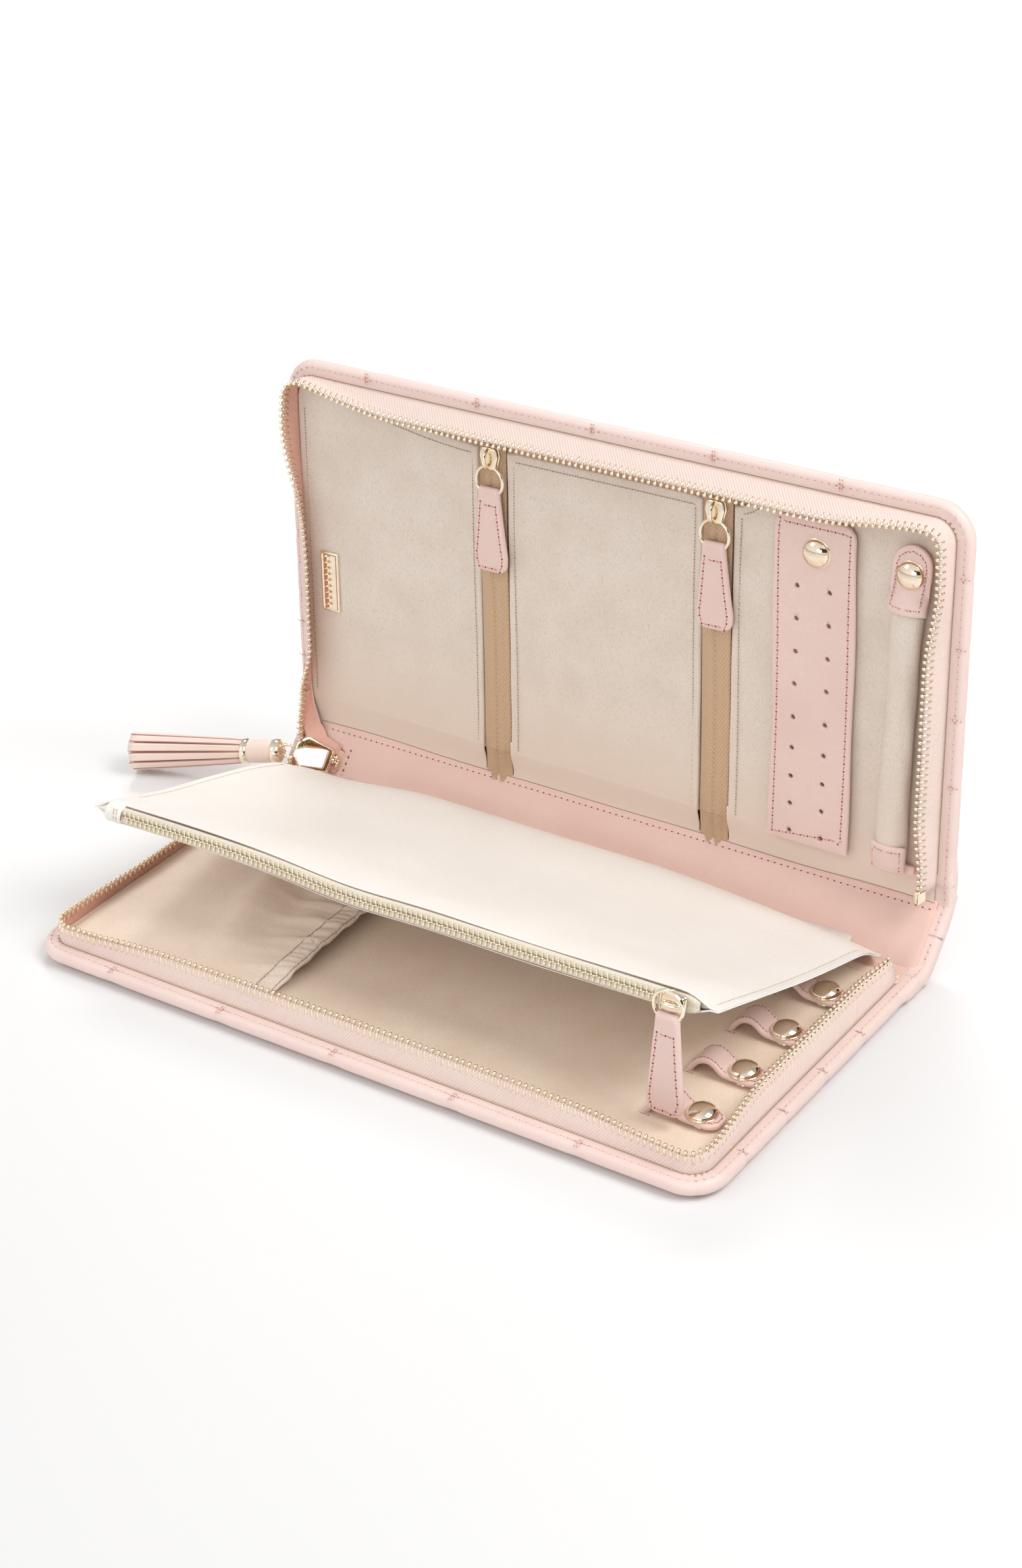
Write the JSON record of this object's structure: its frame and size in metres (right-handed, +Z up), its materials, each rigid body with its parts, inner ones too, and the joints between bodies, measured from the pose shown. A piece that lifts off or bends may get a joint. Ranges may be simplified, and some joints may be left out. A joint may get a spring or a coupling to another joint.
{
  "type": "travel jewelry case",
  "caption": "Slim rectangular travel jewelry case in padded leather, open book-wise, with a zip-round edge, snap loops, ring bar, earring strap, zipped pockets and a zipped pouch.",
  "frame": {"origin": "middle of the flat underside of the base cover, which rests on the table", "axes": "+X along the spine towards the necklace loops, +Y towards the spine and lid, +Z up"},
  "size_m": [0.3475, 0.178, 0.1715],
  "materials": {
    "pink_leather": "blush pink smooth leather",
    "pink_lining": "blush pink lining leather",
    "cream_leather": "off-white soft leather",
    "suede": "beige microsuede",
    "twill": "pink zipper tape",
    "tan_zip": "tan coil zipper",
    "rose_gold": "polished rose gold plating",
    "fringe": "cut leather fringe",
    "board": "grey board stiffener",
    "foam": "soft foam padding"
  },
  "bodies": {
    "base": {"base_cover": "pink_leather", "base_foam": "foam", "base_board": "board", "base_lining": "suede", "base_zip_tape": "twill", "base_zip_teeth": "rose_gold", "elastic_pocket": "suede", "pocket_elastic": "suede", "necklace_stud_strip": "rose_gold"},
    "spine": {"spine_cover": "pink_leather", "spine_board": "board", "spine_lining": "pink_lining", "tail_chain": "rose_gold"},
    "lid": {"lid_cover": "pink_leather", "lid_foam": "foam", "lid_board": "board", "lid_zip_tape": "twill", "lid_zip_teeth": "rose_gold", "lid_lining_left": "suede", "lid_lining_middle": "suede", "lid_lining_right": "suede", "pocket_zip_1": "tan_zip", "pocket_zip_2": "tan_zip", "maker_plate": "rose_gold", "earring_stud": "rose_gold", "ring_bar_stud": "rose_gold", "ring_bar_anchor": "pink_leather"},
    "pouch": {"pouch_top": "cream_leather", "pouch_bottom": "cream_leather", "pouch_zip_tape": "twill", "pouch_zip_chain": "rose_gold"},
    "pouch_slider_body": {"pouch_slider": "rose_gold"},
    "pouch_pull_body": {"pouch_ring": "rose_gold", "pouch_pull": "pink_leather"},
    "pocket_slider_body_1": {"pocket_slider_1": "rose_gold"},
    "pocket_slider_body_2": {"pocket_slider_2": "rose_gold"},
    "pocket_pull_body_1": {"pocket_ring_1": "rose_gold", "pocket_pull_1": "pink_leather"},
    "pocket_pull_body_2": {"pocket_ring_2": "rose_gold", "pocket_pull_2": "pink_leather"},
    "earring_flap": {"earring_strap": "pink_leather", "earring_cap": "rose_gold"},
    "ring_bar_arm": {"ring_bar": "suede", "ring_bar_tab": "pink_leather", "ring_bar_cap": "rose_gold"},
    "main_slider_body": {"main_slider": "rose_gold"},
    "tassel": {"tassel_ring": "rose_gold", "tassel_collar": "pink_leather", "tassel_band": "rose_gold", "tassel_fringe": "fringe"},
    "necklace_loop_1": {"necklace_tab_1": "pink_leather", "necklace_cap_1": "rose_gold"},
    "necklace_loop_2": {"necklace_tab_2": "pink_leather", "necklace_cap_2": "rose_gold"},
    "necklace_loop_3": {"necklace_tab_3": "pink_leather", "necklace_cap_3": "rose_gold"},
    "necklace_loop_4": {"necklace_tab_4": "pink_leather", "necklace_cap_4": "rose_gold"}
  },
  "joints": [
    {"name": "spine_fold", "type": "hinge", "parent": "base", "child": "spine", "pos_m": [0, 0.0706, 0], "axis": [1, 0, 0], "range_deg": [-39.7, 42.8], "deforming": ["pouch_pull"]},
    {"name": "lid_fold", "type": "hinge", "parent": "spine", "child": "lid", "pos_m": [0, 0.0952, 0.02656], "axis": [1, 0, 0], "range_deg": [-46.9, 50.56]},
    {"name": "pouch_fold", "type": "hinge", "parent": "spine", "child": "pouch", "pos_m": [0, 0.07446, 0.01005], "axis": [1, 0, 0], "range_deg": [-27.46, 25.47]},
    {"name": "pouch_zip", "type": "slide", "parent": "pouch", "child": "pouch_slider_body", "axis": [1, 0, 0], "range_m": [-0.225, 0]},
    {"name": "pouch_pull_swing", "type": "hinge", "parent": "pouch_slider_body", "child": "pouch_pull_body", "pos_m": [0.1135, -0.04808, 0.05209], "axis": [-0.0898, 0.9803, -0.1759], "range_deg": [-83.92, 90.48]},
    {"name": "pocket_zip_slide_1", "type": "slide", "parent": "lid", "child": "pocket_slider_body_1", "axis": [0, 0.0585, 0.9983], "range_m": [-0.065, 0]},
    {"name": "pocket_pull_swing_1", "type": "hinge", "parent": "pocket_slider_body_1", "child": "pocket_pull_body_1", "pos_m": [-0.04725, 0.09198, 0.14766], "axis": [1, 0, 0], "range_deg": [-90, 0]},
    {"name": "pocket_zip_slide_2", "type": "slide", "parent": "lid", "child": "pocket_slider_body_2", "axis": [0, 0.0585, 0.9983], "range_m": [-0.065, 0]},
    {"name": "pocket_pull_swing_2", "type": "hinge", "parent": "pocket_slider_body_2", "child": "pocket_pull_body_2", "pos_m": [0.0474, 0.09198, 0.14766], "axis": [1, 0, 0], "range_deg": [-90, 0]},
    {"name": "earring_flap_hinge", "type": "hinge", "parent": "lid", "child": "earring_flap", "pos_m": [0.0871, 0.08602, 0.03411], "axis": [-1, 0, 0], "range_deg": [-60, 0]},
    {"name": "ring_bar_hinge", "type": "hinge", "parent": "lid", "child": "ring_bar_arm", "pos_m": [0.1227, 0.08748, 0.03503], "axis": [-1, 0, 0], "range_deg": [-60, 0]},
    {"name": "necklace_loop_hinge_1", "type": "hinge", "parent": "base", "child": "necklace_loop_1", "pos_m": [0.1046, -0.0434, 0.0086], "axis": [0, 1, 0], "range_deg": [-75, 0]},
    {"name": "necklace_loop_hinge_2", "type": "hinge", "parent": "base", "child": "necklace_loop_2", "pos_m": [0.1046, -0.0164, 0.0086], "axis": [0, 1, 0], "range_deg": [-75, 0]},
    {"name": "necklace_loop_hinge_3", "type": "hinge", "parent": "base", "child": "necklace_loop_3", "pos_m": [0.1046, 0.0106, 0.0086], "axis": [0, 1, 0], "range_deg": [-50, 0]},
    {"name": "necklace_loop_hinge_4", "type": "hinge", "parent": "base", "child": "necklace_loop_4", "pos_m": [0.1046, 0.0376, 0.0086], "axis": [0, 1, 0], "range_deg": [-30, 0]},
    {"name": "main_zip_slide", "type": "slide", "parent": "spine", "child": "main_slider_body", "axis": [-1, 0, 0], "range_m": [-0.005, 0]},
    {"name": "tassel_swing", "type": "hinge", "parent": "main_slider_body", "child": "tassel", "pos_m": [-0.1434, 0.0735, 0.0153], "axis": [-1, 0, 0], "range_deg": [-39.7, 42.8]}
  ],
  "couplings": [
    {"joint": "lid_fold", "follows": "spine_fold", "ratio": 1.1812},
    {"joint": "pouch_fold", "follows": "spine_fold", "ratio": -0.64136},
    {"joint": "pouch_pull_swing", "follows": "spine_fold", "ratio": 2.1137}
  ]
}
